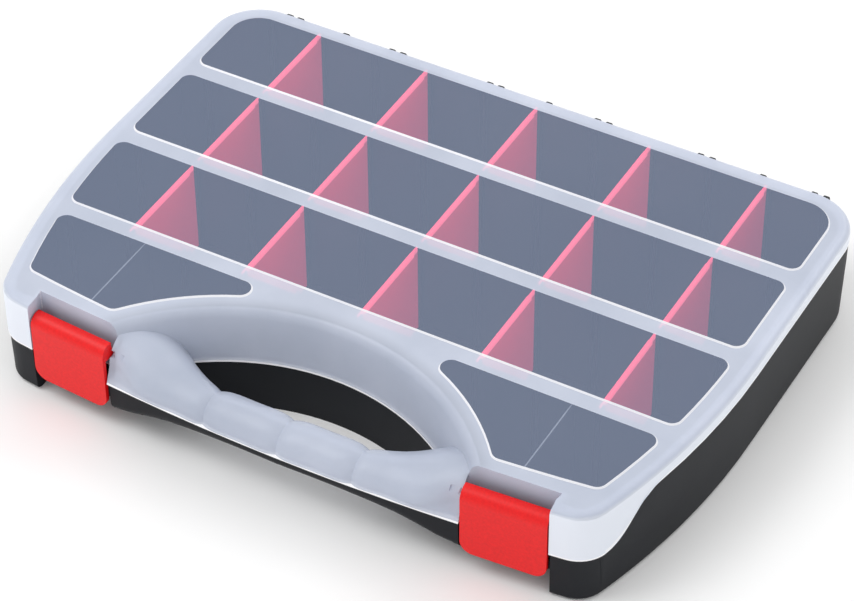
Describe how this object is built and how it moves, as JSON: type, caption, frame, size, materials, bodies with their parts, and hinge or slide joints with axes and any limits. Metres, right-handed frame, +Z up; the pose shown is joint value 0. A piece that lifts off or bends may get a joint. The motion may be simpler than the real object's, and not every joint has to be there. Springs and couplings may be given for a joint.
{
  "type": "drawer organizer box",
  "caption": "Flat carrying organizer box with a clear-windowed hinged lid, snap latches, a curved grip and rows of removable dividers.",
  "frame": {"origin": "middle of the closed box's outline, hinge lugs included, on the table", "axes": "+X across the box along its longest side, +Y from the grip to the hinge, +Z up through the lid"},
  "size_m": [0.385, 0.291, 0.06],
  "materials": {
    "tray_black": "satin",
    "lid_clear": "satin",
    "latch_red": "satin",
    "divider_red": "gloss"
  },
  "bodies": {
    "base": {"base_tray": "tray_black", "divider_back_1": "divider_red", "divider_back_2": "divider_red", "divider_back_3": "divider_red", "divider_back_4": "divider_red", "divider_back_5": "divider_red", "divider_middle_1": "divider_red", "divider_middle_2": "divider_red", "divider_middle_3": "divider_red", "divider_middle_4": "divider_red", "divider_middle_5": "divider_red", "divider_front_1": "divider_red", "divider_front_2": "divider_red", "divider_front_3": "divider_red", "divider_front_4": "divider_red", "divider_front_5": "divider_red"},
    "lid": {"lid": "lid_clear"},
    "latch_left": {"latch_left": "latch_red"},
    "latch_right": {"latch_right": "latch_red"}
  },
  "joints": [
    {"name": "lid_hinge", "type": "hinge", "parent": "base", "child": "lid", "pos_m": [0, 0.13985, 0.0455], "axis": [-1, 0, 0], "range_deg": [0, 170]},
    {"name": "latch_left_hinge", "type": "hinge", "parent": "lid", "child": "latch_left", "pos_m": [-0.12358, -0.13444, 0.0455], "axis": [-0.9976, 0.0698, 0], "range_deg": [0, 100]},
    {"name": "latch_right_hinge", "type": "hinge", "parent": "lid", "child": "latch_right", "pos_m": [0.12358, -0.13444, 0.0455], "axis": [-0.9976, -0.0698, 0], "range_deg": [0, 100]}
  ]
}
